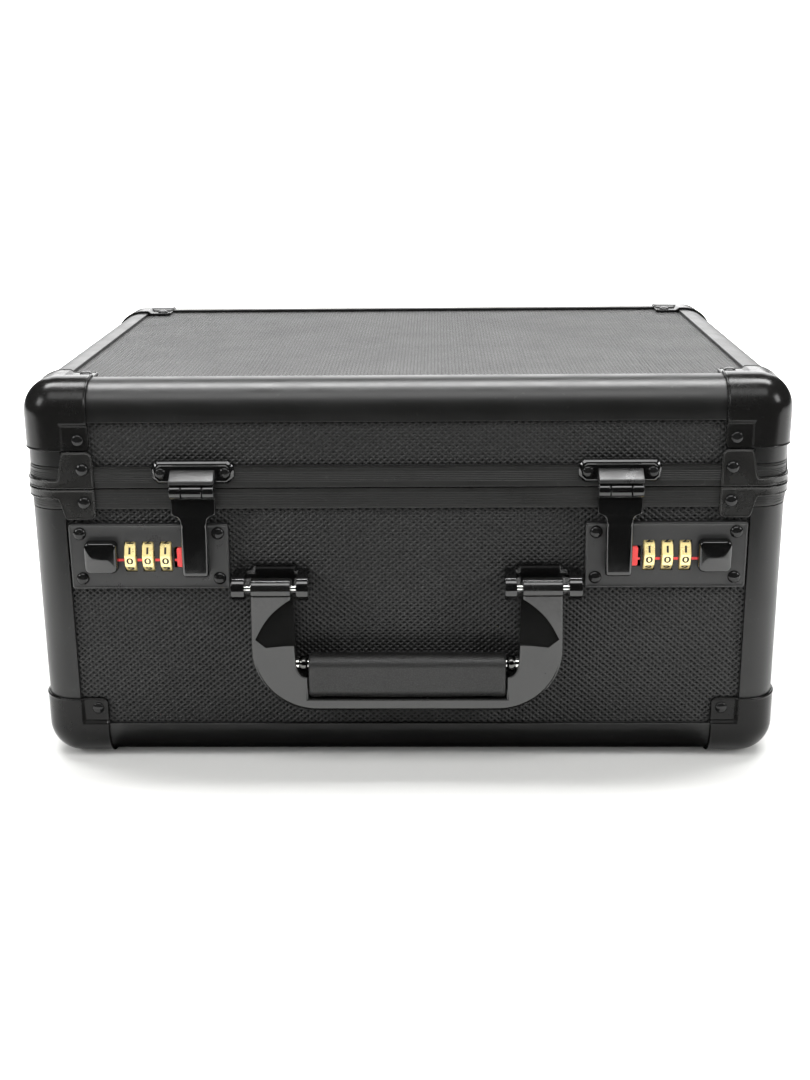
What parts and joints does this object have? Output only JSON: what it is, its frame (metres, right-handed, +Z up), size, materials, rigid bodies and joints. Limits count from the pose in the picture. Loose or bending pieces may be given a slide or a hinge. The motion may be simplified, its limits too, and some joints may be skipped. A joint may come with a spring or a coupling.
{
  "type": "drone carrying case",
  "caption": "Hinged hard carrying case in black with metal edge rails, capped corners, combination latches, a swinging front handle and foam bays for a drone.",
  "frame": {"origin": "on the surface the case stands on, under the middle of its bounding box, with the handle hanging", "axes": "+Z up, +X to the right of someone facing the latches, -Y out of the front with the latches and handle"},
  "size_m": [0.356, 0.2728, 0.1863],
  "materials": {
    "textured_laminate": "black diamond-embossed plastic skin on plywood",
    "black_anodised": "satin black anodised",
    "black_corner_steel": "gloss black enamel",
    "lock_plate_metal": "satin black",
    "latch_gloss_metal": "gloss black",
    "dial_brass": "polished, with black digits",
    "reset_red": "red",
    "handle_gloss_plastic": "gloss black",
    "grip_vinyl": "satin black, fine leather grain",
    "bright_rod": "bright",
    "foam_insert": "charcoal open-cell foam"
  },
  "bodies": {
    "base": {"bottom_panel": "textured_laminate", "base_front_panel": "textured_laminate", "base_back_panel": "textured_laminate", "base_left_panel": "textured_laminate", "base_right_panel": "textured_laminate", "base_rail_frame": "black_anodised", "base_meeting_rail": "black_anodised", "base_corner_cap_front_left": "black_corner_steel", "base_corner_cap_front_right": "black_corner_steel", "base_corner_cap_back_left": "black_corner_steel", "base_corner_cap_back_right": "black_corner_steel", "base_corner_bracket_front_left": "black_corner_steel", "base_corner_bracket_front_right": "black_corner_steel", "base_corner_bracket_back_left": "black_corner_steel", "base_corner_bracket_back_right": "black_corner_steel", "lock_plate_left": "lock_plate_metal", "lock_plate_right": "lock_plate_metal", "lock_housing_left": "lock_plate_metal", "lock_housing_right": "lock_plate_metal", "handle_bracket_left": "latch_gloss_metal", "handle_bracket_right": "latch_gloss_metal", "base_hinge_leaf_left": "latch_gloss_metal", "base_hinge_leaf_right": "latch_gloss_metal", "foam_base_pad": "foam_insert", "foam_cutout_layer": "foam_insert"},
    "lid": {"top_panel": "textured_laminate", "lid_front_panel": "textured_laminate", "lid_back_panel": "textured_laminate", "lid_left_panel": "textured_laminate", "lid_right_panel": "textured_laminate", "lid_rail_frame": "black_anodised", "lid_meeting_rail": "black_anodised", "lid_corner_cap_front_left": "black_corner_steel", "lid_corner_cap_front_right": "black_corner_steel", "lid_corner_cap_back_left": "black_corner_steel", "lid_corner_cap_back_right": "black_corner_steel", "lid_corner_bracket_front_left": "black_corner_steel", "lid_corner_bracket_front_right": "black_corner_steel", "lid_corner_bracket_back_left": "black_corner_steel", "lid_corner_bracket_back_right": "black_corner_steel", "strike_plate_left": "latch_gloss_metal", "strike_plate_right": "latch_gloss_metal", "lid_hinge_leaf_left": "latch_gloss_metal", "lid_hinge_leaf_right": "latch_gloss_metal", "foam_lid_pad": "foam_insert"},
    "handle": {"handle_frame": "handle_gloss_plastic", "handle_grip": "grip_vinyl", "handle_grip_rod": "bright_rod"},
    "hasp_left": {"hasp_left": "latch_gloss_metal"},
    "slide_button_left": {"slide_button_left": "latch_gloss_metal"},
    "reset_tab_left": {"reset_tab_left": "reset_red"},
    "dial_left_1": {"dial_left_1": "dial_brass"},
    "dial_left_2": {"dial_left_2": "dial_brass"},
    "dial_left_3": {"dial_left_3": "dial_brass"},
    "hasp_right": {"hasp_right": "latch_gloss_metal"},
    "slide_button_right": {"slide_button_right": "latch_gloss_metal"},
    "reset_tab_right": {"reset_tab_right": "reset_red"},
    "dial_right_1": {"dial_right_1": "dial_brass"},
    "dial_right_2": {"dial_right_2": "dial_brass"},
    "dial_right_3": {"dial_right_3": "dial_brass"}
  },
  "joints": [
    {"name": "lid_hinge", "type": "hinge", "parent": "base", "child": "lid", "pos_m": [0, 0.13305, 0.1364], "axis": [-1, 0, 0], "range_deg": [0, 95]},
    {"name": "handle_swing", "type": "hinge", "parent": "base", "child": "handle", "pos_m": [0, -0.12965, 0.0912], "axis": [-1, 0, 0], "range_deg": [0, 95]},
    {"name": "hasp_left_hinge", "type": "hinge", "parent": "lid", "child": "hasp_left", "pos_m": [-0.097, -0.12585, 0.1364], "axis": [-1, 0, 0], "range_deg": [0, 95]},
    {"name": "slide_button_left_push", "type": "slide", "parent": "base", "child": "slide_button_left", "axis": [-1, 0, 0], "range_m": [0, 0.005], "stiffness_N_per_m": 300},
    {"name": "reset_tab_left_slide", "type": "slide", "parent": "base", "child": "reset_tab_left", "axis": [-1, 0, 0], "range_m": [0, 0.0012]},
    {"name": "dial_left_1_spin", "type": "hinge", "parent": "base", "child": "dial_left_1", "pos_m": [-0.128, -0.11605, 0.104], "axis": [1, 0, 0], "continuous": true},
    {"name": "dial_left_2_spin", "type": "hinge", "parent": "base", "child": "dial_left_2", "pos_m": [-0.1197, -0.11605, 0.104], "axis": [1, 0, 0], "continuous": true},
    {"name": "dial_left_3_spin", "type": "hinge", "parent": "base", "child": "dial_left_3", "pos_m": [-0.1114, -0.11605, 0.104], "axis": [1, 0, 0], "continuous": true},
    {"name": "hasp_right_hinge", "type": "hinge", "parent": "lid", "child": "hasp_right", "pos_m": [0.097, -0.12585, 0.1364], "axis": [-1, 0, 0], "range_deg": [0, 95]},
    {"name": "slide_button_right_push", "type": "slide", "parent": "base", "child": "slide_button_right", "axis": [1, 0, 0], "range_m": [0, 0.005], "stiffness_N_per_m": 300},
    {"name": "reset_tab_right_slide", "type": "slide", "parent": "base", "child": "reset_tab_right", "axis": [1, 0, 0], "range_m": [0, 0.0012]},
    {"name": "dial_right_1_spin", "type": "hinge", "parent": "base", "child": "dial_right_1", "pos_m": [0.128, -0.11605, 0.104], "axis": [1, 0, 0], "continuous": true},
    {"name": "dial_right_2_spin", "type": "hinge", "parent": "base", "child": "dial_right_2", "pos_m": [0.1197, -0.11605, 0.104], "axis": [1, 0, 0], "continuous": true},
    {"name": "dial_right_3_spin", "type": "hinge", "parent": "base", "child": "dial_right_3", "pos_m": [0.1114, -0.11605, 0.104], "axis": [1, 0, 0], "continuous": true}
  ]
}
